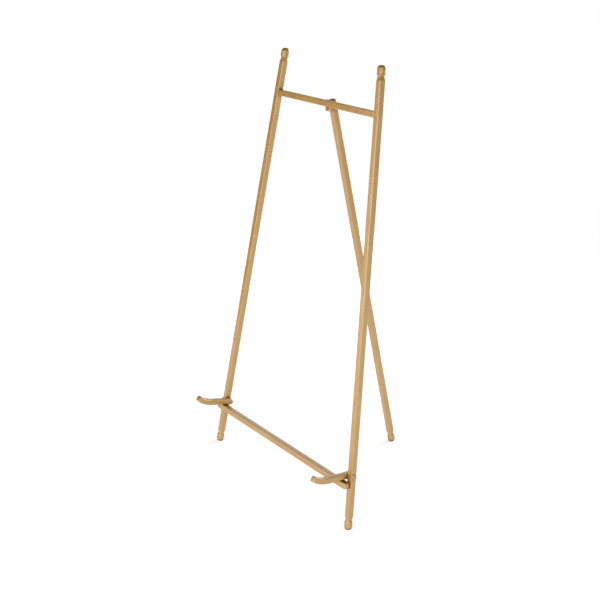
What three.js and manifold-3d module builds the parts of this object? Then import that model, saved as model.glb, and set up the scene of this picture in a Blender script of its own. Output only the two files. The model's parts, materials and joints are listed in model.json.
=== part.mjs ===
// A folding display easel forged from square metal bar.
//
// Two uprights lean back and close in towards the top. A top rail is butted between them, and a bottom
// rail lies across their fronts. Two hooks, riveted to the uprights' inner sides just above the bottom
// rail, hold the picture. A rear leg hangs on a rivet in a U-shaped strap behind the top rail.
//
// Millimetres, +Z up. The picture faces a viewer on the -Y side, and +X is to that viewer's right.

import * as THREE from "three";
import { mergeVertices } from "three/addons/utils/BufferGeometryUtils.js";
import Module from "manifold-3d";

// ---- Driving dimensions ----

const BAR = 8; // side of the square bar
const BAR_CORNER = 0.9; // radius along the bar's four edges
const FIT_GAP = 0.3; // space left between neighbouring pieces

const UPRIGHT_RISE = 596.7; // foot to tip, measured up the leaning frame
const FOOT_SPACING = 313.2; // between the uprights' centrelines at their feet
const TIP_SPACING = 199.3; // between the uprights' centrelines at their tips
const FRAME_LEAN = THREE.MathUtils.degToRad(8.28); // the frame's backward lean

const TOP_RAIL_HEIGHT = 536.8; // up the leaning frame
const BOTTOM_RAIL_HEIGHT = 61.4;
const BOTTOM_RAIL_LENGTH = 308.5;
const BOTTOM_RAIL_SHIFT = -1.7; // the rail sits slightly off centre, towards -X
const END_ROUNDING = 2.2; // plain ends of the bottom rail and the leg

const KNOB_RADIUS = 5.4; // forged knob at the end of a bar
const KNOB_CORNER = 5; // nearly round
const KNOB_DOME = 3.2; // radius where the knob's side turns into its end
const KNOB_LENGTH = 10; // from the tip to where the knob starts to close in
const NECK_HALF = 3.5; // half the width of the neck behind the knob
const NECK_CORNER = 1.6;
const NECK_DISTANCE = 13.8; // from the tip to the middle of the neck
const SHOULDER_DISTANCE = 18.8; // from the tip to where the plain bar starts

const HOOK_CORNER = 1.7; // the hooks' edges are hammered rounder
const HOOK_TAIL = 2.6; // behind the rivet
const HOOK_REACH = 32.2; // straight stretch in front of the rivet
const HOOK_BEND_RADIUS = 52; // centreline radius of the upturned tip
const HOOK_BEND = THREE.MathUtils.degToRad(30.5);
const HOOK_END_ROUNDING = 1.6;
const LEFT_HOOK_HEIGHT = 70.9; // each hook was set by hand, so the two differ a little
const RIGHT_HOOK_HEIGHT = 72.6;
const LEFT_HOOK_PITCH = THREE.MathUtils.degToRad(5); // tip up from the frame's normal
const RIGHT_HOOK_PITCH = THREE.MathUtils.degToRad(-2.7);

const STRAP_THICKNESS = 1; // thin sheet folded into the hinge's U
const STRAP_RISE = 9.3; // height of its web above the rivet
const STRAP_DROP = 5.5; // and below it
const STRAP_BEND = 1.6; // outer radius of its two bends
const STRAP_EYE_RADIUS = 4.6; // rounded end of each ear, about the rivet
const HINGE_HEIGHT = 532; // rivet above the feet, up the leaning frame
const HINGE_SET_BACK = 13.5; // rivet behind the frame's middle plane
const LEG_SIDE_CLEARANCE = 0.4; // between the leg and each ear
const LEG_REACH_BACK = 212; // rear foot behind the front feet, along the floor
const LEG_ABOVE_RIVET = 11; // short end of the leg that stops against the strap

const RIVET_RADIUS = 2;
const RIVET_BORE_RADIUS = 2.3;
const RIVET_HEAD_RADIUS = 4.4; // low round head on the uprights' outer sides
const RIVET_HEAD_HEIGHT = 1.8;
const PEENED_HEAD_RADIUS = 3.3; // hammered-over end
const PEENED_HEAD_HEIGHT = 1.3;

const FOOT_WEAR = 0.3; // height that the floor has worn off the tip of each foot

// ---- Finish ----

const SECTION_STEPS = 4; // straight steps in each rounded corner of a bar's section
const ROUND_STEPS = 32; // sides of rivets and bores
const DOME_STEPS = 4;

function metal(color) {
  return new THREE.MeshStandardMaterial({ color, roughness: 0.42, metalness: 0.85 });
}

// ---- Solids: joining and cutting ----

const wasm = await Module();
wasm.setup();

function toSolid(geometry) {
  const bare = geometry.clone();
  bare.deleteAttribute("normal");
  bare.deleteAttribute("uv");
  const merged = mergeVertices(bare);
  return new wasm.Manifold(
    new wasm.Mesh({
      numProp: 3,
      vertProperties: new Float32Array(merged.attributes.position.array),
      triVerts: new Uint32Array(merged.index.array),
    }),
  );
}

function toGeometry(solid) {
  const { vertProperties, triVerts } = solid.getMesh();
  const geometry = new THREE.BufferGeometry();
  geometry.setAttribute("position", new THREE.BufferAttribute(vertProperties, 3));
  geometry.setIndex(new THREE.BufferAttribute(triVerts, 1));
  geometry.computeVertexNormals();
  return geometry;
}

function cut(geometry, ...cutters) {
  const solid = cutters.reduce((left, cutter) => left.subtract(toSolid(cutter)), toSolid(geometry));
  return toGeometry(solid);
}

// A round hole along X, through the point (0, y, z).
function boreAlongX(y, z, length) {
  const bore = new THREE.CylinderGeometry(RIVET_BORE_RADIUS, RIVET_BORE_RADIUS, length, ROUND_STEPS);
  return bore.rotateZ(Math.PI / 2).translate(0, y, z);
}

// ---- Bars: a rounded-square section carried along a line ----

// A point of the outline of a rounded square, counted round it by index.
function sectionPoint(index, half, corner) {
  const pointsPerCorner = SECTION_STEPS + 1;
  const quarter = Math.floor(index / pointsPerCorner) % 4;
  const angle = (quarter + (index % pointsPerCorner) / SECTION_STEPS) * (Math.PI / 2);
  const centreAngle = (quarter + 0.5) * (Math.PI / 2);
  const centre = (half - corner) * Math.SQRT2;
  return [
    centre * Math.cos(centreAngle) + corner * Math.cos(angle),
    centre * Math.sin(centreAngle) + corner * Math.sin(angle),
  ];
}

// stations: { at, half, corner } in order along the bar. place(x, y, at) puts a section's point in space.
function bar(stations, place = (x, y, at) => [x, y, at]) {
  const sides = 4 * (SECTION_STEPS + 1);
  const rows = stations.length - 1;
  const geometry = new THREE.CylinderGeometry(1, 1, 1, sides, rows);
  const position = geometry.attributes.position;
  for (let i = 0; i < position.count; i += 1) {
    const x = position.getX(i);
    const y = -position.getZ(i);
    const station = stations[Math.round((position.getY(i) + 0.5) * rows)];
    const turn = (Math.atan2(y, x) / (2 * Math.PI) + 1) % 1;
    const onAxis = Math.hypot(x, y) < 0.5;
    const point = sectionPoint(Math.round(turn * sides) % sides, station.half, station.corner);
    const [px, py] = onAxis ? [0, 0] : point;
    position.setXYZ(i, ...place(px, py, station.at));
  }
  geometry.computeVertexNormals();
  return geometry;
}

// Stations that round a bar's end over, from the tip inwards.
function roundedEnd(half, corner, rounding) {
  return Array.from({ length: DOME_STEPS + 1 }, (_, step) => {
    const angle = (step / DOME_STEPS) * (Math.PI / 2);
    const inset = rounding * (1 - Math.sin(angle));
    const narrowed = half - inset;
    return {
      at: rounding * (1 - Math.cos(angle)),
      half: narrowed,
      corner: Math.min(Math.max(corner, narrowed * 0.5), narrowed * 0.93),
    };
  });
}

// Stations of a forged end, from the tip inwards: dome, barrel-shaped knob, neck and shoulder.
function forgedEnd() {
  const dome = roundedEnd(KNOB_RADIUS, KNOB_CORNER, KNOB_DOME);
  return [
    ...dome,
    { at: KNOB_LENGTH, half: KNOB_RADIUS * 0.98, corner: KNOB_CORNER * 0.95 },
    { at: (KNOB_LENGTH + NECK_DISTANCE) / 2, half: (KNOB_RADIUS + NECK_HALF) / 2, corner: 3 },
    { at: NECK_DISTANCE, half: NECK_HALF, corner: NECK_CORNER },
    { at: SHOULDER_DISTANCE, half: BAR / 2, corner: BAR_CORNER },
  ];
}

// Joins the stations of a bar's two ends. Each end is listed from its own tip inwards.
function betweenEnds(start, finish, from, to) {
  const first = start.map((station) => ({ ...station, at: from + station.at }));
  const last = finish.map((station) => ({ ...station, at: to - station.at })).reverse();
  return [...first, ...last];
}

const squareEnd = [{ at: 0, half: BAR / 2, corner: BAR_CORNER }];

// ---- Pieces of the frame ----

const uprightSlope = (FOOT_SPACING - TIP_SPACING) / 2 / UPRIGHT_RISE; // inwards, for each unit of rise
const uprightTilt = Math.atan(uprightSlope);
const uprightLength = UPRIGHT_RISE / Math.cos(uprightTilt);

// An upright stands on its own axis. Its side faces look along its own X.
function uprightGeometry(hookHeight) {
  const plain = bar(betweenEnds(forgedEnd(), forgedEnd(), 0, uprightLength));
  return cut(plain, boreAlongX(0, hookHeight / Math.cos(uprightTilt), 2 * BAR));
}

// The top rail's ends are cut to the slope of the uprights that it fits between.
function topRailGeometry() {
  const centreToUpright = FOOT_SPACING / 2 - TOP_RAIL_HEIGHT * uprightSlope;
  const halfLength = centreToUpright - (BAR / 2 + FIT_GAP) / Math.cos(uprightTilt);
  const stations = betweenEnds(squareEnd, squareEnd, -halfLength, halfLength);
  // The section's Y becomes the rail's height, so the ends follow the slope.
  return bar(stations, (x, y, at) => [at - Math.sign(at) * y * uprightSlope, x, y]);
}

function bottomRailGeometry() {
  const end = roundedEnd(BAR / 2, BAR_CORNER, END_ROUNDING);
  const stations = betweenEnds(end, end, -BOTTOM_RAIL_LENGTH / 2, BOTTOM_RAIL_LENGTH / 2);
  return bar(stations, (x, y, at) => [at, x, y]);
}

// A hook points forwards, towards -Y, from its rivet at the origin, and then bends up.
function hookGeometry() {
  const bendSteps = 8;
  const end = roundedEnd(BAR / 2, HOOK_CORNER, HOOK_END_ROUNDING);
  const tip = HOOK_REACH + HOOK_BEND_RADIUS * HOOK_BEND;
  const bendStations = Array.from({ length: bendSteps - 1 }, (_, step) => ({
    at: HOOK_REACH + (HOOK_BEND_RADIUS * HOOK_BEND * step) / bendSteps,
    half: BAR / 2,
    corner: HOOK_CORNER,
  }));
  const stations = [
    ...betweenEnds(end, [], -HOOK_TAIL, 0),
    ...bendStations,
    ...betweenEnds([], end, 0, tip),
  ];
  const alongCentreline = (x, y, at) => {
    const turn = Math.max(0, at - HOOK_REACH) / HOOK_BEND_RADIUS;
    const forward = Math.min(at, HOOK_REACH) + HOOK_BEND_RADIUS * Math.sin(turn);
    const rise = HOOK_BEND_RADIUS * (1 - Math.cos(turn));
    return [x, -forward + y * Math.sin(turn), rise + y * Math.cos(turn)];
  };
  return cut(bar(stations, alongCentreline), boreAlongX(0, 0, 2 * BAR));
}

// A rivet along X, from its low round head at +X to its hammered-over end at -X.
function rivetGeometry(grip, headRadius = RIVET_HEAD_RADIUS, headHeight = RIVET_HEAD_HEIGHT) {
  const head = domeProfile(headRadius, headHeight).map(([radius, height]) => [radius, grip / 2 + height]);
  const peened = domeProfile(PEENED_HEAD_RADIUS, PEENED_HEAD_HEIGHT)
    .map(([radius, height]) => [radius, -grip / 2 - height])
    .reverse();
  const outline = [...peened, [RIVET_RADIUS, -grip / 2], [RIVET_RADIUS, grip / 2], ...head];
  const points = outline.map(([radius, height]) => new THREE.Vector2(radius, height));
  return new THREE.LatheGeometry(points, ROUND_STEPS).rotateZ(-Math.PI / 2);
}

// Outline of a rivet's head, from its rim over to the axis, as [radius, height].
function domeProfile(radius, height) {
  return Array.from({ length: DOME_STEPS + 1 }, (_, step) => {
    const angle = (step / DOME_STEPS) * (Math.PI / 2);
    const across = step === DOME_STEPS ? 0 : radius * Math.cos(angle);
    return [across, height * Math.sin(angle)];
  });
}

// ---- Pieces of the hinge ----

const strapHalfWidth = BAR / 2 + LEG_SIDE_CLEARANCE + STRAP_THICKNESS;
const strapFront = BAR / 2 + FIT_GAP; // behind the frame's middle plane
const strapReach = HINGE_SET_BACK + STRAP_EYE_RADIUS - strapFront;

// The strap's plan: a U open towards +Y, with its bends rounded outside and in.
function strapPlan() {
  const outer = strapHalfWidth;
  const inner = strapHalfWidth - STRAP_THICKNESS;
  const innerBend = STRAP_BEND - STRAP_THICKNESS;
  const plan = new THREE.Shape();
  plan.moveTo(-outer, strapReach);
  plan.lineTo(-outer, STRAP_BEND);
  plan.absarc(-outer + STRAP_BEND, STRAP_BEND, STRAP_BEND, Math.PI, 1.5 * Math.PI, false);
  plan.lineTo(outer - STRAP_BEND, 0);
  plan.absarc(outer - STRAP_BEND, STRAP_BEND, STRAP_BEND, 1.5 * Math.PI, 2 * Math.PI, false);
  plan.lineTo(outer, strapReach);
  plan.lineTo(inner, strapReach);
  plan.lineTo(inner, STRAP_BEND);
  plan.absarc(inner - innerBend, STRAP_BEND, innerBend, 0, -0.5 * Math.PI, true);
  plan.lineTo(-inner + innerBend, STRAP_THICKNESS);
  plan.absarc(-inner + innerBend, STRAP_BEND, innerBend, -0.5 * Math.PI, -Math.PI, true);
  plan.closePath();
  return plan;
}

// The strap's side view: full height at the web, narrowing to a round eye about the rivet.
function strapSide() {
  const eye = strapReach - STRAP_EYE_RADIUS;
  const earRoot = STRAP_BEND + 1;
  const side = new THREE.Shape();
  side.moveTo(-1, -STRAP_DROP);
  side.lineTo(earRoot, -STRAP_DROP);
  side.lineTo(eye, -STRAP_EYE_RADIUS);
  side.absarc(eye, 0, STRAP_EYE_RADIUS, -Math.PI / 2, Math.PI / 2, false);
  side.lineTo(earRoot, STRAP_RISE);
  side.lineTo(-1, STRAP_RISE);
  side.closePath();
  return side;
}

// The bracket's origin is at the middle of its web's front face, at the rivet's height.
function hingeBracketGeometry() {
  const channel = new THREE.ExtrudeGeometry(strapPlan(), {
    depth: STRAP_RISE + STRAP_DROP,
    bevelEnabled: false,
    curveSegments: 8,
  }).translate(0, 0, -STRAP_DROP);
  const sideWidth = 4 * strapHalfWidth;
  // The side view is drawn in Y and Z and carried along X.
  const side = new THREE.ExtrudeGeometry(strapSide(), {
    depth: sideWidth,
    bevelEnabled: false,
    curveSegments: 16,
  })
    .translate(0, 0, -sideWidth / 2)
    .applyMatrix4(new THREE.Matrix4().set(0, 0, 1, 0, 1, 0, 0, 0, 0, 1, 0, 0, 0, 0, 0, 1));
  const shaped = toGeometry(toSolid(channel).intersect(toSolid(side)));
  return cut(shaped, boreAlongX(HINGE_SET_BACK - strapFront, 0, sideWidth));
}

// The rear leg hangs from its rivet at the origin, down its own -Z.
function rearLegGeometry(length) {
  const top = roundedEnd(BAR / 2, BAR_CORNER, END_ROUNDING);
  const stations = betweenEnds(forgedEnd(), top, -length, LEG_ABOVE_RIVET);
  return cut(bar(stations), boreAlongX(0, 0, 2 * BAR));
}

// ---- Assembly ----

function piece(name, geometry, color) {
  const mesh = new THREE.Mesh(geometry, metal(color));
  mesh.name = name;
  return mesh;
}

// side is +1 for the upright at +X and -1 for the one at -X. A hook and its rivet sit square to the
// upright's inner face, so they are placed in its own axes.
function uprightAssembly(side, name, hookHeight, hookPitch) {
  const group = new THREE.Group();
  group.position.x = (side * FOOT_SPACING) / 2;
  group.rotation.y = -side * uprightTilt;
  group.add(piece(`${name}_upright`, uprightGeometry(hookHeight), 0xc8a468));

  const hook = piece(`${name}_hook`, hookGeometry(), 0xc49a5c);
  const alongUpright = hookHeight / Math.cos(uprightTilt);
  hook.position.set(-side * (BAR + FIT_GAP), 0, alongUpright);
  hook.rotation.x = -hookPitch;
  group.add(hook);

  const grip = 2 * BAR + 3 * FIT_GAP;
  const rivet = piece(`${name}_hook_rivet`, rivetGeometry(grip), 0xb98f50);
  rivet.position.set((-side * (BAR + FIT_GAP)) / 2, 0, alongUpright);
  rivet.rotation.z = side > 0 ? 0 : Math.PI;
  group.add(rivet);
  return group;
}

function frameAssembly() {
  const frame = new THREE.Group();
  frame.rotation.x = -FRAME_LEAN;
  frame.add(uprightAssembly(-1, "left", LEFT_HOOK_HEIGHT, LEFT_HOOK_PITCH));
  frame.add(uprightAssembly(1, "right", RIGHT_HOOK_HEIGHT, RIGHT_HOOK_PITCH));

  const topRail = piece("top_rail", topRailGeometry(), 0xbe9656);
  topRail.position.z = TOP_RAIL_HEIGHT;
  frame.add(topRail);

  const bottomRail = piece("bottom_rail", bottomRailGeometry(), 0xc8a870);
  bottomRail.position.set(BOTTOM_RAIL_SHIFT, -(BAR + FIT_GAP), BOTTOM_RAIL_HEIGHT);
  frame.add(bottomRail);

  const bracket = piece("hinge_bracket", hingeBracketGeometry(), 0xb48c50);
  bracket.position.set(0, strapFront, HINGE_HEIGHT);
  frame.add(bracket);

  const grip = 2 * (strapHalfWidth + FIT_GAP);
  const rivet = piece("hinge_rivet", rivetGeometry(grip, PEENED_HEAD_RADIUS, PEENED_HEAD_HEIGHT), 0xb98f50);
  rivet.position.set(0, HINGE_SET_BACK, HINGE_HEIGHT);
  frame.add(rivet);
  return frame;
}

// The leg reaches from the rivet to its foot on the floor.
function placedRearLeg() {
  const rivet = new THREE.Vector3(0, HINGE_SET_BACK, HINGE_HEIGHT);
  rivet.applyAxisAngle(new THREE.Vector3(1, 0, 0), -FRAME_LEAN);
  const backwards = LEG_REACH_BACK - rivet.y;
  const leg = piece("rear_leg", rearLegGeometry(Math.hypot(backwards, rivet.z)), 0xc09a62);
  leg.position.copy(rivet);
  leg.rotation.x = Math.atan2(backwards, rivet.z);
  return leg;
}

// Each foot has a small level flat where it stands on the floor.
function wearFoot(mesh) {
  mesh.updateWorldMatrix(true, false);
  const size = 4 * KNOB_RADIUS;
  const floor = new THREE.BoxGeometry(size, size, size);
  const foot = new THREE.Vector3(0, 0, mesh.geometry.boundingBox.min.z).applyMatrix4(mesh.matrixWorld);
  floor.translate(foot.x, foot.y, FOOT_WEAR - size / 2);
  floor.applyMatrix4(mesh.matrixWorld.clone().invert());
  mesh.geometry = cut(mesh.geometry, floor);
}

function buildEasel() {
  const easel = new THREE.Group();
  easel.add(frameAssembly());
  easel.add(placedRearLeg());
  for (const name of ["left_upright", "right_upright", "rear_leg"]) {
    const mesh = easel.getObjectByName(name);
    mesh.geometry.computeBoundingBox();
    wearFoot(mesh);
  }

  // The origin is on the floor, at the middle of the easel's bounding box.
  const box = new THREE.Box3().setFromObject(easel, true);
  easel.position.set(-(box.min.x + box.max.x) / 2, -(box.min.y + box.max.y) / 2, -box.min.z);
  return easel;
}

export default buildEasel();
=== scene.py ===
import json
import math

import bpy
import numpy as np
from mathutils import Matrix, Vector, noise


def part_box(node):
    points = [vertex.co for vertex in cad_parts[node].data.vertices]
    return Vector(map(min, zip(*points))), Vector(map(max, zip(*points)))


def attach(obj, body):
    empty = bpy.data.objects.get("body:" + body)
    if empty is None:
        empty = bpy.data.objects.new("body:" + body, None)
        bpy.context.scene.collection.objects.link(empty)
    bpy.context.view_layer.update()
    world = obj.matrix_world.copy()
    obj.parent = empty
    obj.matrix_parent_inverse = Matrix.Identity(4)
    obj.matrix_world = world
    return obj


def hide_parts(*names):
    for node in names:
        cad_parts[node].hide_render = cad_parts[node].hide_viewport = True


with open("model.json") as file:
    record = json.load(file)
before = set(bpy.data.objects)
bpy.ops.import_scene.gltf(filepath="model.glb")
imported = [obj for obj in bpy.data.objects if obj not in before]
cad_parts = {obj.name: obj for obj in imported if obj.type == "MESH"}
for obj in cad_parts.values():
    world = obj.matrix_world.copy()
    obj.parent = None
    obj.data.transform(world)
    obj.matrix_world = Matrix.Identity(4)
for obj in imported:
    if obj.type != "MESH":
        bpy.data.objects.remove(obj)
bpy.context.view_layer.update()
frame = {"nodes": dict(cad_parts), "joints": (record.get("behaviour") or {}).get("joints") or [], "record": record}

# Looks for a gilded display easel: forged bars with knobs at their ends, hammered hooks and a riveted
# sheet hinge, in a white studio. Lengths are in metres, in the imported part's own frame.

MM = 0.001

# ---- Driving values of the fine surface ----

PAINT = 0.15 * MM  # how much the paint builds out each side of a bar
EDGE_RADIUS = 0.7 * MM  # along a bar's four edges
HOOK_EDGE_RADIUS = 1.8 * MM
KNOB_RADIUS = 5.4 * MM
KNOB_TIP_RADIUS = 1.3 * MM  # nearly flat middle of the knob's dome
KNOB_DOME = 4.1 * MM  # from the tip to where the knob is widest
KNOB_LENGTH = 10.2 * MM  # from the tip to where the knob starts to close in
NECK_DISTANCE = 13.8 * MM
NECK_HALF = 3.55 * MM
NECK_EDGE_RADIUS = 1.7 * MM
SHOULDER_DISTANCE = 18.8 * MM
CROWN_HEIGHT = 0.12 * MM  # how far the middle of a knob's tip stands out
CROWN_HALF = 0.4 * KNOB_TIP_RADIUS
CROWN_CORNER = 0.37 * KNOB_TIP_RADIUS
END_ROUNDING = 2.2 * MM  # bottom rail and the rear leg's top
TOP_RAIL_EDGE_RADIUS = 0.95 * MM

HOOK_REACH = 32.2 * MM  # straight stretch in front of the rivet
HOOK_BEND_RADIUS = 52 * MM
HOOK_BEND = math.radians(30.5)
HOOK_END_ROUNDING = 1.6 * MM

STRAP_THICKNESS = 1 * MM  # thin sheet folded into a U
STRAP_BEND = 1.6 * MM  # outer radius
STRAP_EYE_RADIUS = 4.6 * MM
STRAP_END_HALF = 0.25 * STRAP_EYE_RADIUS  # half height of an ear's blunt end
STRAP_EDGE_RADIUS = 0.35 * MM

RIVET_HEAD = (4.4 * MM, 1.8 * MM)  # radius and height
PEENED_HEAD = (3.3 * MM, 1.3 * MM)
SHANK_HALF = 0.6 * PEENED_HEAD[0]

# Hammer marks: how deep they are, and how far apart.
KNOB_MARK_SPACING = 2.6 * MM
BAR_MARK_DEPTH = 0.012 * MM  # along a bar, away from its knobs
MARKS_DISTANCE = 1.5 * SHOULDER_DISTANCE  # from the tip to where a knob's deep marks have died away
RAIL_MARKS = (0.015 * MM, 3 * MM)
HOOK_MARKS = (0.09 * MM, 3.4 * MM)
RIVET_MARKS = (0.07 * MM, 2.2 * MM)
STRAP_MARKS = (0.03 * MM, 3 * MM)
MARK_RADIUS = 0.62  # share of the distance between marks
RIDGE_DEPTH = 0.35  # unevenness between the marks, as a share of their depth
RIDGE_LENGTH = 0.6  # and as a share of the distance between them
WAVINESS = 0.05 * MM  # how far a bar's surface wanders in and out
STRAP_WAVINESS = 0.02 * MM
WAVE_LENGTH = 14 * MM

TIP_PATINA = 0.6  # share of patina on a knob's tip
TIP_PATINA_REACH = 3.6 * MM
TOP_KNOB_PATINA = 0.55  # share of patina over the uprights' top knobs
RIDGE_PATINA = 0.4  # how much of that patina stays on the ridges between hammer marks
HOLLOW_PATINA = 1.2  # how much more of it gathers in a hollow

STATION_STEP = 1.6 * MM  # between rings along a bar
FLAT_STEPS = 5  # divisions of each flat side of a ring
CORNER_STEPS = 5  # divisions of each rounded corner
DOME_STEPS = 9
KNOB_STEPS = 22
EYE_STEPS = 14
STRAP_STEPS = 60
NEARLY_ROUND = 0.94  # corner radius over half width, in a ring that looks round

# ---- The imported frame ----

bodies = frame["record"]["behaviour"]["bodies"]
slots = {part["node"]: part["material_slot"] for part in frame["record"]["subparts"]}
mounts = {mount["name"]: mount for mount in frame["record"]["mounts"]}
hinge = Vector(frame["joints"][0]["pos_m"])
SIDEWAYS = Vector((1, 0, 0))
FRAME_NORMAL = Vector(mounts["back_rest"]["axis"]).normalized()  # out of the leaning frame's front
UP_THE_FRAME = FRAME_NORMAL.cross(SIDEWAYS)


class Axes:
    """A place in space with three directions. z is x cross y."""

    def __init__(self, origin, x, y):
        self.origin = Vector(origin)
        self.x = Vector(x).normalized()
        self.y = Vector(y).normalized()
        self.z = self.x.cross(self.y)

    def moved(self, x=0.0, y=0.0, z=0.0):
        return Axes(self.origin + x * self.x + y * self.y + z * self.z, self.x, self.y)

    def tilted(self, angle):
        """Turned about x, so that z leans towards y."""
        y = self.y * math.cos(angle) - self.z * math.sin(angle)
        return Axes(self.origin, self.x, y)


def node_points(node):
    mesh = frame["nodes"][node].data
    points = np.empty(len(mesh.vertices) * 3, np.float32)
    mesh.vertices.foreach_get("co", points)
    return points.reshape(-1, 3).astype(float)


def span(node, direction):
    """Lowest and highest place of a CAD node along a direction."""
    along = node_points(node) @ np.array(direction)
    return float(along.min()), float(along.max())


def long_axis(node, roughly):
    """Middle of a long, straight node, and the direction that it runs in, which is roughly the given one."""
    points = node_points(node)
    mean = points.mean(0)
    direction = Vector(np.linalg.svd(points - mean, full_matrices=False)[2][0])
    if direction.dot(roughly) < 0:
        direction = -direction
    low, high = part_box(node)
    mean = Vector(mean)
    return mean + direction * ((low + high) / 2 - mean).dot(direction), direction


def body_of(node):
    return next(body for body, members in bodies.items() if node in members)


rail_back, rail_front = span("top_rail", FRAME_NORMAL)
BARE_BAR = rail_front - rail_back
BAR = BARE_BAR + 2 * PAINT

# ---- Rings and sweeps ----


def ring(half_x, half_y, corner):
    """Outline of a rounded rectangle, anticlockwise, and how much of an edge each point is."""
    points = []
    edges = []
    for quarter in range(4):
        sign_x = 1 if quarter in (0, 3) else -1
        sign_y = 1 if quarter in (0, 1) else -1
        centre = (sign_x * (half_x - corner), sign_y * (half_y - corner))
        for step in range(CORNER_STEPS + 1):
            share = step / CORNER_STEPS
            angle = (quarter + share) * math.pi / 2
            points.append((centre[0] + corner * math.cos(angle), centre[1] + corner * math.sin(angle)))
            edges.append(math.sin(share * math.pi))
        flat_x, flat_y = points[-1]
        length = (half_x - corner) if quarter in (0, 2) else (half_y - corner)
        along = [(-1, 0), (0, -1), (1, 0), (0, 1)][quarter]
        for step in range(1, FLAT_STEPS):
            reach = 2 * length * step / FLAT_STEPS
            points.append((flat_x + along[0] * reach, flat_y + along[1] * reach))
            edges.append(0.0)
    return np.array(points), np.array(edges)


def sweep(name, stations, place, patina_at=lambda along: 0.0):
    """Closed mesh through rings.

    stations are (along, half_x, half_y, corner). place(along) gives a ring's Axes, and patina_at(along) says
    how brown the surface is there, from 0 to 1.
    """
    vertices = []
    local = []
    edges = []
    for along, half_x, half_y, corner in stations:
        axes = place(along)
        points, edge = ring(half_x, half_y, corner)
        outline = np.outer(points[:, 0], axes.x) + np.outer(points[:, 1], axes.y)
        vertices.append(np.array(axes.origin) + outline)
        local.append(np.column_stack([points, np.full(len(points), along)]))
        edges.append(edge)
    count = len(vertices[0])
    rows = len(vertices)
    ends = [place(stations[0][0]).origin, place(stations[-1][0]).origin]
    vertices = np.vstack([*vertices, [ends[0]], [ends[1]]])
    local = np.vstack([*local, [(0, 0, stations[0][0])], [(0, 0, stations[-1][0])]])
    edges = np.concatenate([*edges, [0.0, 0.0]])
    faces = []
    for row in range(rows - 1):
        for point in range(count):
            following = (point + 1) % count
            low, high = row * count, (row + 1) * count
            faces.append((low + point, low + following, high + following, high + point))
    first_cap, last_cap = rows * count, rows * count + 1
    for point in range(count):
        following = (point + 1) % count
        faces.append((following, point, first_cap))
        faces.append((first_cap - count + point, first_cap - count + following, last_cap))
    mesh = bpy.data.meshes.new(name)
    mesh.from_pydata(vertices.tolist(), [], faces)
    mesh.attributes.new("bar_place", "FLOAT_VECTOR", "POINT").data.foreach_set("vector", local.ravel())
    mesh.attributes.new("edge", "FLOAT", "POINT").data.foreach_set("value", edges)
    patina = [patina_at(along) for along in local[:, 2]]
    mesh.attributes.new("patina", "FLOAT", "POINT").data.foreach_set("value", patina)
    mesh.polygons.foreach_set("use_smooth", [True] * len(mesh.polygons))
    mesh.update()
    piece = bpy.data.objects.new(name, mesh)
    bpy.context.scene.collection.objects.link(piece)
    return piece


def smooth_step(low, high, value):
    share = min(max((value - low) / (high - low), 0.0), 1.0)
    return share * share * (3 - 2 * share)


def round_over(half, corner, rounding):
    """Stations from a bar's tip inwards that round its end over, as (distance, half, corner)."""
    stations = []
    for step in range(DOME_STEPS + 1):
        angle = step / DOME_STEPS * math.pi / 2
        inset = rounding * (1 - math.sin(angle))
        distance = rounding * (1 - math.cos(angle))
        narrowed = half - inset
        stations.append((distance, narrowed, min(corner + 0.6 * inset, NEARLY_ROUND * narrowed)))
    # Two smaller rings divide the tip's flat middle.
    tip_half = stations[0][1]
    inner = [(0.0, tip_half * size, tip_half * size * 0.6) for size in (0.35, 0.7)]
    return inner + stations


def forged_end():
    """Stations of a forged end, from the tip inwards: dome, barrel-shaped knob, neck and shoulder."""
    stations = [(-CROWN_HEIGHT, CROWN_HALF, CROWN_CORNER)]
    for step in range(DOME_STEPS + 1):
        angle = step / DOME_STEPS * math.pi / 2
        half = KNOB_TIP_RADIUS + (KNOB_RADIUS - KNOB_TIP_RADIUS) * math.sin(angle)
        stations.append((KNOB_DOME * (1 - math.cos(angle)), half, NEARLY_ROUND * half))
    knob_corner = NEARLY_ROUND * KNOB_RADIUS
    for step in range(1, KNOB_STEPS + 1):
        distance = KNOB_DOME + (SHOULDER_DISTANCE - KNOB_DOME) * step / KNOB_STEPS
        closing = smooth_step(KNOB_LENGTH, NECK_DISTANCE, distance)
        opening = smooth_step(NECK_DISTANCE, SHOULDER_DISTANCE, distance)
        half = KNOB_RADIUS + (NECK_HALF - KNOB_RADIUS) * closing + (BAR / 2 - NECK_HALF) * opening
        corner = knob_corner + (NECK_EDGE_RADIUS - knob_corner) * closing
        corner += (EDGE_RADIUS - NECK_EDGE_RADIUS) * opening
        stations.append((distance, half, min(corner, NEARLY_ROUND * half)))
    return stations


def bar_stations(low, high, low_end, high_end, corner):
    """Stations of a whole bar between two ends, each given from its own tip inwards."""
    start = [(low + distance, half, half, edge) for distance, half, edge in low_end]
    finish = [(high - distance, half, half, edge) for distance, half, edge in reversed(high_end)]
    first, half = start[-1][:2]
    last = finish[0][0]
    steps = max(2, round((last - first) / STATION_STEP))
    between = [(first + (last - first) * step / steps, half, half, corner) for step in range(1, steps)]
    return start + between + finish


# ---- Hand-forged irregularity ----


def dimples(place, spacing):
    """Hollows left by a hammer, from 0 on the ridges between them to 1 at the middle of each."""
    nearest = noise.voronoi(place / spacing)[0][0]
    return max(0.0, 1.0 - (nearest / MARK_RADIUS) ** 2)


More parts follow.
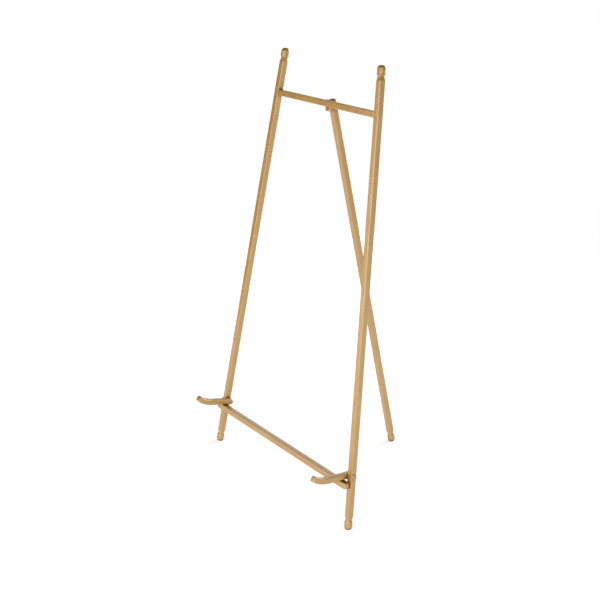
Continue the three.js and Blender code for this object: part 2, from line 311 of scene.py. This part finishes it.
def hammer(piece, marks_at, waviness=WAVINESS):
    """Moves the surface in along its normals, and gathers patina in the hollows.

    marks_at(bar_place) says how deep the hammer marks are there, and how far apart.
    """
    mesh = piece.data
    count = len(mesh.vertices)
    points = np.empty(count * 3, np.float32)
    normals = np.empty(count * 3, np.float32)
    local = np.empty(count * 3, np.float32)
    patina = np.empty(count, np.float32)
    mesh.vertices.foreach_get("co", points)
    mesh.vertex_normals.foreach_get("vector", normals)
    mesh.attributes["bar_place"].data.foreach_get("vector", local)
    mesh.attributes["patina"].data.foreach_get("value", patina)
    points, normals, local = (values.reshape(-1, 3) for values in (points, normals, local))
    for index in range(count):
        place = Vector(points[index].tolist())
        depth, spacing = marks_at(local[index])
        hollow = dimples(place, spacing)
        moved = waviness * noise.noise(place / WAVE_LENGTH)
        moved -= depth * hollow
        moved += RIDGE_DEPTH * depth * noise.noise(place / (RIDGE_LENGTH * spacing))
        points[index] += normals[index] * moved
        patina[index] *= RIDGE_PATINA + HOLLOW_PATINA * hollow
    mesh.vertices.foreach_set("co", points.ravel())
    mesh.attributes["patina"].data.foreach_set("value", patina)
    mesh.update()


def marks_on_ends(low, high, low_depth, high_depth):
    """Hammer marks that are deep on the knobs and die away along the bar."""

    def marks_at(local):
        near_low = 1 - smooth_step(SHOULDER_DISTANCE, MARKS_DISTANCE, local[2] - low)
        near_high = 1 - smooth_step(SHOULDER_DISTANCE, MARKS_DISTANCE, high - local[2])
        return BAR_MARK_DEPTH + low_depth * near_low + high_depth * near_high, KNOB_MARK_SPACING

    return marks_at


def end_patina(distance, knob=0.0):
    """Patina at a distance from a tip: most on the dome, then knob as far as the neck, and none beyond."""
    on_tip = TIP_PATINA * (1 - smooth_step(0.2 * TIP_PATINA_REACH, TIP_PATINA_REACH, distance))
    on_knob = knob * (1 - smooth_step(NECK_DISTANCE, SHOULDER_DISTANCE, distance))
    return max(on_tip, on_knob)


def wear_foot(piece):
    """Flattens a foot where it stands on the floor."""
    mesh = piece.data
    for vertex in mesh.vertices:
        vertex.co.z = max(vertex.co.z, 0.0)
    mesh.update()


# ---- Materials ----

GOLD = (0.395, 0.214, 0.031)
WARM_GOLD = (0.4, 0.201, 0.033)
PALE_GOLD = (0.42, 0.246, 0.055)
# The patina's own brown, also used as painted shade in creases where pieces meet.
PATINA_AND_SHADE_BROWN = (0.16, 0.06, 0.012)
# Painted shade: within this reach of another surface, the surface darkens towards the patina brown.
CREASE_SHADE_REACH = 8 * MM  # how near another surface has to be to make a crease

# How many features of each texture there are to a metre.
CLOUDS = 110.0  # warmer and paler gold
MOTTLES = 900.0  # grain of the paint
PITS = 420.0
SMALL_MARKS = 330.0


def add_node(tree, kind, place, **inputs):
    """A new shader node. An underscore in an input's name stands for a space."""
    made = tree.nodes.new(kind)
    made.location = place
    for name, value in inputs.items():
        made.inputs[name.replace("_", " ")].default_value = value
    return made


def attribute(tree, place, name, output):
    made = add_node(tree, "ShaderNodeAttribute", place)
    made.attribute_name = name
    return made.outputs[output]


def noise_texture(tree, place, vector, **inputs):
    made = add_node(tree, "ShaderNodeTexNoise", place, **inputs)
    tree.links.new(vector, made.inputs["Vector"])
    return made.outputs["Fac"]


def remap(tree, place, value, **ranges):
    """Carries a value from one range to another, and stops at the ends."""
    made = add_node(tree, "ShaderNodeMapRange", place, **ranges)
    tree.links.new(value, made.inputs["Value"])
    return made.outputs["Result"]


def combine(tree, place, operation, *values, clamp=False):
    """Arithmetic on values, each a number or another node's output."""
    made = add_node(tree, "ShaderNodeMath", place)
    made.operation = operation
    made.use_clamp = clamp
    for socket, value in zip(made.inputs, values):
        if isinstance(value, float):
            socket.default_value = value
        else:
            tree.links.new(value, socket)
    return made.outputs["Value"]


def cover(tree, place, amount, colour, under):
    """A plain colour over what is under it, where amount is 1."""
    made = add_node(tree, "ShaderNodeMix", place)
    made.data_type = "RGBA"
    made.inputs["B"].default_value = (*colour, 1)
    tree.links.new(amount, made.inputs["Factor"])
    tree.links.new(under, made.inputs["A"])
    return made.outputs["Result"]


def cloudy_gold(tree, clouds, mottle, tone, dark, light):
    """Clouds of darker and lighter gold, finely mottled, and lighter along the edges, partly as rubbed wear and
    partly as a painted highlight.
    """
    tones = add_node(tree, "ShaderNodeValToRGB", (-900, 300))
    ramp = tones.color_ramp
    ramp.elements[0].position = 0.36
    ramp.elements[0].color = (*dark, 1)
    ramp.elements[1].position = 0.64
    ramp.elements[1].color = (*light, 1)
    ramp.elements.new(0.5).color = (*tone, 1)
    tree.links.new(clouds, tones.inputs["Fac"])

    brightness = remap(tree, (-900, 0), mottle, From_Min=0.3, From_Max=0.7, To_Min=0.9, To_Max=1.1)
    mottled = add_node(tree, "ShaderNodeVectorMath", (-650, 250))
    mottled.operation = "SCALE"
    tree.links.new(tones.outputs["Color"], mottled.inputs[0])
    tree.links.new(brightness, mottled.inputs["Scale"])

    edge = attribute(tree, (-1500, -400), "edge", "Fac")
    # Lighter edges: partly rubbed wear, partly a painted highlight.
    rubbed_and_highlit = combine(tree, (-900, -350), "MULTIPLY", edge, mottle)
    return cover(tree, (-450, 200), rubbed_and_highlit, light, mottled.outputs["Vector"])


def patina_and_shade_mask(tree, place, mottle, crease_shade):
    """Where brown patina lies, over the knobs and in scattered pits, and where painted shade browns the creases
    wherever two pieces meet.
    """
    pits = noise_texture(tree, (-1100, -600), place, Scale=PITS, Detail=5.0, Roughness=0.65)
    in_pits = remap(tree, (-900, -600), pits, From_Min=0.66, From_Max=0.8)
    # Painted shade: ambient occlusion darkens creases and the gaps between pieces towards the patina brown.
    crease = add_node(tree, "ShaderNodeAmbientOcclusion", (-1100, -850), Distance=CREASE_SHADE_REACH)
    crease.samples = 8
    openness = crease.outputs["AO"]
    painted_crease_shade = remap(tree, (-900, -850), openness, From_Min=0.8, From_Max=0.35, To_Max=crease_shade)
    pits_and_crease_shade = combine(tree, (-750, -650), "MAXIMUM", in_pits, painted_crease_shade)
    knobs = attribute(tree, (-1500, -1100), "patina", "Fac")
    on_knobs = combine(tree, (-750, -1000), "MULTIPLY", knobs, mottle)
    return combine(tree, (-550, -700), "MAXIMUM", pits_and_crease_shade, on_knobs, clamp=True)


def hammered_normal(tree, place, mottle, hammering):
    """Normals bent by small hammer marks and the grain of the paint."""
    marks = add_node(tree, "ShaderNodeTexVoronoi", (-650, -1000), Scale=SMALL_MARKS)
    tree.links.new(place, marks.inputs["Vector"])
    relief = combine(tree, (-450, -900), "MULTIPLY_ADD", marks.outputs["Distance"], hammering, mottle)
    bump = add_node(tree, "ShaderNodeBump", (-250, -800), Strength=0.12, Distance=0.1 * MM)
    tree.links.new(relief, bump.inputs["Height"])
    return bump.outputs["Normal"]


def gilded_metal(name, tone, dark, light, hammering, crease_shade):
    """Satin gold paint over forged iron. Patina, and the painted shade in creases, are browner and rougher than
    the gold, and less glossy.
    """
    material = bpy.data.materials.new(name)
    material.use_nodes = True
    tree = material.node_tree
    shader = tree.nodes["Principled BSDF"]
    shader.inputs["Metallic"].default_value = 0.4
    shader.inputs["Coat Roughness"].default_value = 0.25
    shader.inputs["Coat IOR"].default_value = 1.8

    place = attribute(tree, (-1500, 0), "bar_place", "Vector")
    stretched = add_node(tree, "ShaderNodeMapping", (-1300, 200), Scale=(1.0, 1.0, 0.35))
    tree.links.new(place, stretched.inputs["Vector"])
    along_bar = stretched.outputs["Vector"]
    clouds = noise_texture(tree, (-1100, 300), along_bar, Scale=CLOUDS, Detail=3.0, Roughness=0.55)
    mottle = noise_texture(tree, (-1100, 0), place, Scale=MOTTLES, Detail=4.0, Roughness=0.6)
    clean = cloudy_gold(tree, clouds, mottle, tone, dark, light)
    # Real patina over the knobs and in pits, and painted shade in creases, share one mask.
    patina_and_crease_shade = patina_and_shade_mask(tree, place, mottle, crease_shade)
    clean_roughness = remap(tree, (-450, -200), clouds, To_Min=0.44, To_Max=0.62)
    surface = {
        "Base Color": cover(tree, (-250, 150), patina_and_crease_shade, PATINA_AND_SHADE_BROWN, clean),
        "Roughness": combine(tree, (-250, -200), "MULTIPLY_ADD", patina_and_crease_shade, 0.25, clean_roughness),
        "Coat Weight": remap(tree, (-250, -450), patina_and_crease_shade, From_Max=0.5, To_Min=0.95, To_Max=0.1),
        "Specular IOR Level": remap(tree, (-250, -600), patina_and_crease_shade, From_Max=0.5, To_Min=0.5, To_Max=0.1),
        "Normal": hammered_normal(tree, place, mottle, hammering),
    }
    for socket, value in surface.items():
        tree.links.new(value, shader.inputs[socket])
    return material


materials = {
    "gilded_bar": gilded_metal(
        "gilded_bar", GOLD, WARM_GOLD, PALE_GOLD, hammering=0.35, crease_shade=0.95
    ),
    "gilded_hook": gilded_metal(
        "gilded_hook", GOLD, WARM_GOLD, PALE_GOLD, hammering=0.7, crease_shade=0.95
    ),
    "gilded_fitting": gilded_metal(
        "gilded_fitting", WARM_GOLD, PATINA_AND_SHADE_BROWN, GOLD, hammering=0.6, crease_shade=0.75
    ),
}


def finish_piece(piece, node_name):
    """Gives a piece the slot, material and body of the CAD node that it stands for."""
    piece.data.materials.append(materials[slots[node_name]])
    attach(piece, body_of(node_name))
    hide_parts(node_name)


# ---- Bars ----


def upright(side, foot_marks, top_marks):
    """foot_marks and top_marks are how deep the hammer marks are on its foot and on its top knob."""
    node_name = f"{side}_upright"
    middle, direction = long_axis(node_name, UP_THE_FRAME)
    across = direction.cross(FRAME_NORMAL)
    axes = Axes(middle, across, direction.cross(across))
    low, high = (reach - middle.dot(direction) for reach in span(node_name, direction))
    stations = bar_stations(low, high, forged_end(), forged_end(), EDGE_RADIUS)

    def patina_at(along):
        return max(end_patina(along - low), end_patina(high - along, TOP_KNOB_PATINA))

    piece = sweep(f"{node_name}_forging", stations, lambda along: axes.moved(z=along), patina_at)
    hammer(piece, marks_on_ends(low, high, foot_marks, top_marks))
    wear_foot(piece)
    finish_piece(piece, node_name)


def rail(node_name, end, corner):
    """A level bar. Both its ends have the same stations, each from a tip inwards."""
    low_x, high_x = span(node_name, SIDEWAYS)
    low_up, high_up = span(node_name, UP_THE_FRAME)
    low_out, high_out = span(node_name, FRAME_NORMAL)
    origin = UP_THE_FRAME * (low_up + high_up) / 2 + FRAME_NORMAL * (low_out + high_out) / 2
    # The rings' z, which the rail runs along, is sideways.
    axes = Axes(origin, UP_THE_FRAME, FRAME_NORMAL)
    stations = bar_stations(low_x, high_x, end, end, corner)
    piece = sweep(f"{node_name}_bar", stations, lambda along: axes.moved(z=along))
    hammer(piece, lambda local: RAIL_MARKS)
    finish_piece(piece, node_name)


def rear_leg(foot_marks):
    middle, direction = long_axis("rear_leg", UP_THE_FRAME)
    axes = Axes(middle, SIDEWAYS, direction.cross(SIDEWAYS))
    low, high = (reach - middle.dot(direction) for reach in span("rear_leg", direction))
    top = round_over(BAR / 2, EDGE_RADIUS, END_ROUNDING)
    stations = bar_stations(low, high, forged_end(), top, EDGE_RADIUS)
    piece = sweep(
        "rear_leg_forging",
        stations,
        lambda along: axes.moved(z=along),
        lambda along: end_patina(along - low),
    )
    hammer(piece, marks_on_ends(low, high, foot_marks, 0.0))
    wear_foot(piece)
    finish_piece(piece, "rear_leg")


# ---- Hooks and rivets ----


def hook(side):
    """A hook points forwards from its rivet, and then bends up."""
    node_name = f"{side}_hook"
    rivet_middle, across = long_axis(f"{side}_hook_rivet", SIDEWAYS)
    up = Vector(mounts[f"{side}_hook_seat"]["axis"])
    low, high = span(node_name, across)
    origin = rivet_middle + across * ((low + high) / 2 - rivet_middle.dot(across))
    axes = Axes(origin, across, up)
    tail = axes.origin.dot(axes.z) - span(node_name, axes.z)[0]

    def place(along):
        turn = max(0.0, along - HOOK_REACH) / HOOK_BEND_RADIUS
        forward = min(along, HOOK_REACH) + HOOK_BEND_RADIUS * math.sin(turn)
        rise = HOOK_BEND_RADIUS * (1 - math.cos(turn))
        return axes.moved(y=rise, z=forward).tilted(turn)

    end = round_over(BAR / 2, HOOK_EDGE_RADIUS, HOOK_END_ROUNDING)
    tip = HOOK_REACH + HOOK_BEND_RADIUS * HOOK_BEND
    stations = bar_stations(-tail, tip, end, end, HOOK_EDGE_RADIUS)
    piece = sweep(f"{node_name}_forging", stations, place)
    hammer(piece, lambda local: HOOK_MARKS)
    finish_piece(piece, node_name)


def rivet(node_name, head=PEENED_HEAD):
    """A rivet with a hammered-over end and, at the other end, the given head."""
    middle, direction = long_axis(node_name, SIDEWAYS)
    points = node_points(node_name) - np.array(middle)
    along = points @ np.array(direction)
    low, high = float(along.min()), float(along.max())
    radius = np.linalg.norm(points - np.outer(along, direction), axis=1)
    head_is_high = radius[along > 0].max() > radius[along < 0].max()
    low_head, high_head = (PEENED_HEAD, head) if head_is_high else (head, PEENED_HEAD)
    across = direction.orthogonal().normalized()
    axes = Axes(middle, across, direction.cross(across))
    stations = [
        *dome_stations(low, 1, *low_head),
        (low + low_head[1], SHANK_HALF, SHANK_HALF, NEARLY_ROUND * SHANK_HALF),
        (high - high_head[1], SHANK_HALF, SHANK_HALF, NEARLY_ROUND * SHANK_HALF),
        *reversed(dome_stations(high, -1, *high_head)),
    ]
    piece = sweep(f"{node_name}_forging", stations, lambda along: axes.moved(z=along))
    hammer(piece, lambda local: RIVET_MARKS, waviness=0.0)
    finish_piece(piece, node_name)


def dome_stations(tip, inwards, radius, height):
    """Stations over a low dome, from its tip to its rim."""
    stations = []
    for step in range(1, DOME_STEPS + 1):
        angle = step / DOME_STEPS * math.pi / 2
        half = radius * math.sin(angle)
        along = tip + inwards * height * (1 - math.cos(angle))
        stations.append((along, half, half, NEARLY_ROUND * half))
    return stations


# ---- Hinge ----


def hinge_strap():
    """Thin sheet folded into a U about the leg's top, its ears narrowing to round eyes about the rivet."""
    low_x, high_x = span("hinge_bracket", SIDEWAYS)
    ear_end, web_face = span("hinge_bracket", FRAME_NORMAL)
    rivet_height = hinge.dot(UP_THE_FRAME)
    drop, rise = (height - rivet_height for height in span("hinge_bracket", UP_THE_FRAME))
    half_span = (high_x - low_x) / 2 - STRAP_THICKNESS / 2
    depth = web_face - ear_end - STRAP_THICKNESS / 2
    bend = STRAP_BEND - STRAP_THICKNESS / 2
    straight = depth - bend
    arc = bend * math.pi / 2
    total = 2 * (straight + arc + half_span - bend)
    backwards = FRAME_NORMAL * -1
    middle = UP_THE_FRAME * rivet_height + FRAME_NORMAL * (web_face - STRAP_THICKNESS / 2)

    def edges(run):
        """Heights of the sheet's lower and upper edge above the rivet, at a distance from an ear's end."""
        eye = STRAP_EYE_RADIUS
        if run < eye:
            half = math.sqrt(max(eye**2 - (eye - run) ** 2, STRAP_END_HALF**2))
            return -half, half
        widening = min((run - eye) / (straight - eye), 1.0)
        return -eye + (drop + eye) * widening, eye + (rise - eye) * widening

    def place(along):
        mirror = -1 if along > total / 2 else 1
        run = min(along, total - along)
        if run < straight:
            side, back, angle = -half_span, depth - run, 0.0
        elif run < straight + arc:
            angle = (run - straight) / bend
            side = -half_span + bend * (1 - math.cos(angle))
            back = bend * (1 - math.sin(angle))
        else:
            side, back, angle = -half_span + bend + (run - straight - arc), 0.0, math.pi / 2
        outwards = SIDEWAYS * -math.cos(angle) * mirror + backwards * -math.sin(angle)
        low, high = edges(run)
        origin = middle + SIDEWAYS * side * mirror + backwards * back + UP_THE_FRAME * (low + high) / 2
        # The rings' y points down, so that their z runs along the sheet.
        return Axes(origin, outwards, UP_THE_FRAME * -1)

    first = [STRAP_EYE_RADIUS * (1 - math.cos(step / EYE_STEPS * math.pi / 2)) for step in range(EYE_STEPS)]
    between = [
        STRAP_EYE_RADIUS + (total - 2 * STRAP_EYE_RADIUS) * step / STRAP_STEPS
        for step in range(STRAP_STEPS + 1)
    ]
    runs = first + between + [total - run for run in reversed(first)]
    stations = []
    for run in runs:
        low, high = edges(min(run, total - run))
        stations.append((run, STRAP_THICKNESS / 2, (high - low) / 2, STRAP_EDGE_RADIUS))
    piece = sweep("hinge_strap", stations, place)
    hammer(piece, lambda local: STRAP_MARKS, waviness=STRAP_WAVINESS)
    finish_piece(piece, "hinge_bracket")


# ---- Build ----

upright("left", foot_marks=0.05 * MM, top_marks=0.1 * MM)
upright("right", foot_marks=0.05 * MM, top_marks=0.24 * MM)
rail("top_rail", [(0.0, BARE_BAR / 2, TOP_RAIL_EDGE_RADIUS)], TOP_RAIL_EDGE_RADIUS)
rail("bottom_rail", round_over(BAR / 2, EDGE_RADIUS, END_ROUNDING), EDGE_RADIUS)
rear_leg(foot_marks=0.06 * MM)
for side in ("left", "right"):
    hook(side)
    rivet(f"{side}_hook_rivet", RIVET_HEAD)
hinge_strap()
rivet("hinge_rivet")

# ---- Studio ----

EASEL_MIDDLE = Vector((0, -0.08, 0.3))
LIGHT_DISTANCE = 1.35
TABLE_RADIUS = 1.25
TABLE_SIDES = 96


def look_at(turned, place, target):
    turned.location = place
    turned.rotation_euler = (Vector(target) - Vector(place)).to_track_quat("-Z", "Y").to_euler()


def softbox(name, azimuth, elevation, width, tall, radiance):
    """A soft light that faces the easel. Azimuth 0 is in front of it, and 90 is on its right."""
    turn = math.radians(azimuth)
    rise = math.radians(elevation)
    towards = Vector((math.sin(turn) * math.cos(rise), -math.cos(turn) * math.cos(rise), math.sin(rise)))
    light = bpy.data.lights.new(name, "AREA")
    light.shape = "RECTANGLE"
    light.size = width
    light.size_y = tall
    light.energy = math.pi * width * tall * radiance
    lamp = bpy.data.objects.new(name, light)
    lamp.visible_camera = False
    bpy.context.scene.collection.objects.link(lamp)
    look_at(lamp, EASEL_MIDDLE + towards * LIGHT_DISTANCE, EASEL_MIDDLE)


def white_table():
    """A round, matt white table. It glows a little towards its rim, where less of the lamps' light falls."""
    material = bpy.data.materials.new("white_table")
    material.use_nodes = True
    tree = material.node_tree
    shader = tree.nodes["Principled BSDF"]
    shader.inputs["Base Color"].default_value = (0.8, 0.8, 0.8, 1)
    shader.inputs["Roughness"].default_value = 0.9
    shader.inputs["Specular IOR Level"].default_value = 0.1
    shader.inputs["Emission Color"].default_value = (1, 1, 1, 1)
    place = add_node(tree, "ShaderNodeTexCoord", (-800, 0))
    distance = add_node(tree, "ShaderNodeVectorMath", (-600, 0))
    distance.operation = "LENGTH"
    tree.links.new(place.outputs["Object"], distance.inputs[0])
    from_middle = distance.outputs["Value"]
    glow = remap(tree, (-400, 0), from_middle, From_Min=0.3, From_Max=TABLE_RADIUS, To_Min=0.46, To_Max=0.68)
    tree.links.new(glow, shader.inputs["Emission Strength"])
    mesh = bpy.data.meshes.new("table")
    angles = np.arange(TABLE_SIDES) / TABLE_SIDES * math.tau
    rim = np.column_stack([np.cos(angles), np.sin(angles), np.zeros(TABLE_SIDES)]) * TABLE_RADIUS
    mesh.from_pydata(rim.tolist(), [], [tuple(range(TABLE_SIDES))])
    mesh.materials.append(material)
    table = bpy.data.objects.new("table", mesh)
    table.location.y = EASEL_MIDDLE.y
    bpy.context.scene.collection.objects.link(table)


def white_surroundings():
    """Shows white behind the table, but lights the easel with a dim room."""
    world = bpy.data.worlds.new("studio")
    world.use_nodes = True
    bpy.context.scene.world = world
    tree = world.node_tree
    room = tree.nodes["Background"]
    room.inputs["Color"].default_value = (1, 1, 1, 1)
    room.inputs["Strength"].default_value = 0.1
    shown = tree.nodes.new("ShaderNodeBackground")
    shown.inputs["Color"].default_value = (1, 1, 1, 1)
    ray = tree.nodes.new("ShaderNodeLightPath")
    either = tree.nodes.new("ShaderNodeMixShader")
    tree.links.new(ray.outputs["Is Camera Ray"], either.inputs["Fac"])
    tree.links.new(room.outputs["Background"], either.inputs[1])
    tree.links.new(shown.outputs["Background"], either.inputs[2])
    tree.links.new(either.outputs["Shader"], tree.nodes["World Output"].inputs["Surface"])


white_table()
white_surroundings()
softbox("left strip", azimuth=325, elevation=6, width=0.32, tall=0.9, radiance=4.5)
softbox("front strip", azimuth=350, elevation=6, width=0.24, tall=0.9, radiance=5.0)
softbox("front right", azimuth=42, elevation=15, width=2.2, tall=1.4, radiance=2.45)
softbox("right", azimuth=115, elevation=0, width=0.9, tall=0.7, radiance=1.15)
softbox("behind", azimuth=180, elevation=12, width=0.9, tall=0.9, radiance=6.0)
softbox("back left", azimuth=230, elevation=8, width=1.2, tall=0.6, radiance=1.0)
bpy.context.scene.view_settings.view_transform = "Standard"

# The camera looks from the front right, a little above the easel's top.
CAMERA_AZIMUTH = math.radians(53.48)
CAMERA_ELEVATION = math.radians(20.18)
CAMERA_ROLL = math.radians(0.11)
CAMERA_DISTANCE = 1.423
CAMERA_LENS = 65.66
CAMERA_TARGET = Vector((0.0493, -0.0838, 0.2899))


def photographer_camera():
    data = bpy.data.cameras.new("camera")
    data.lens = CAMERA_LENS
    data.sensor_width = 36
    camera = bpy.data.objects.new("camera", data)
    bpy.context.scene.collection.objects.link(camera)
    backwards = Vector(
        (
            math.sin(CAMERA_AZIMUTH) * math.cos(CAMERA_ELEVATION),
            -math.cos(CAMERA_AZIMUTH) * math.cos(CAMERA_ELEVATION),
            math.sin(CAMERA_ELEVATION),
        )
    )
    look_at(camera, CAMERA_TARGET + backwards * CAMERA_DISTANCE, CAMERA_TARGET)
    camera.rotation_euler.rotate_axis("Z", CAMERA_ROLL)
    bpy.context.scene.camera = camera


photographer_camera()
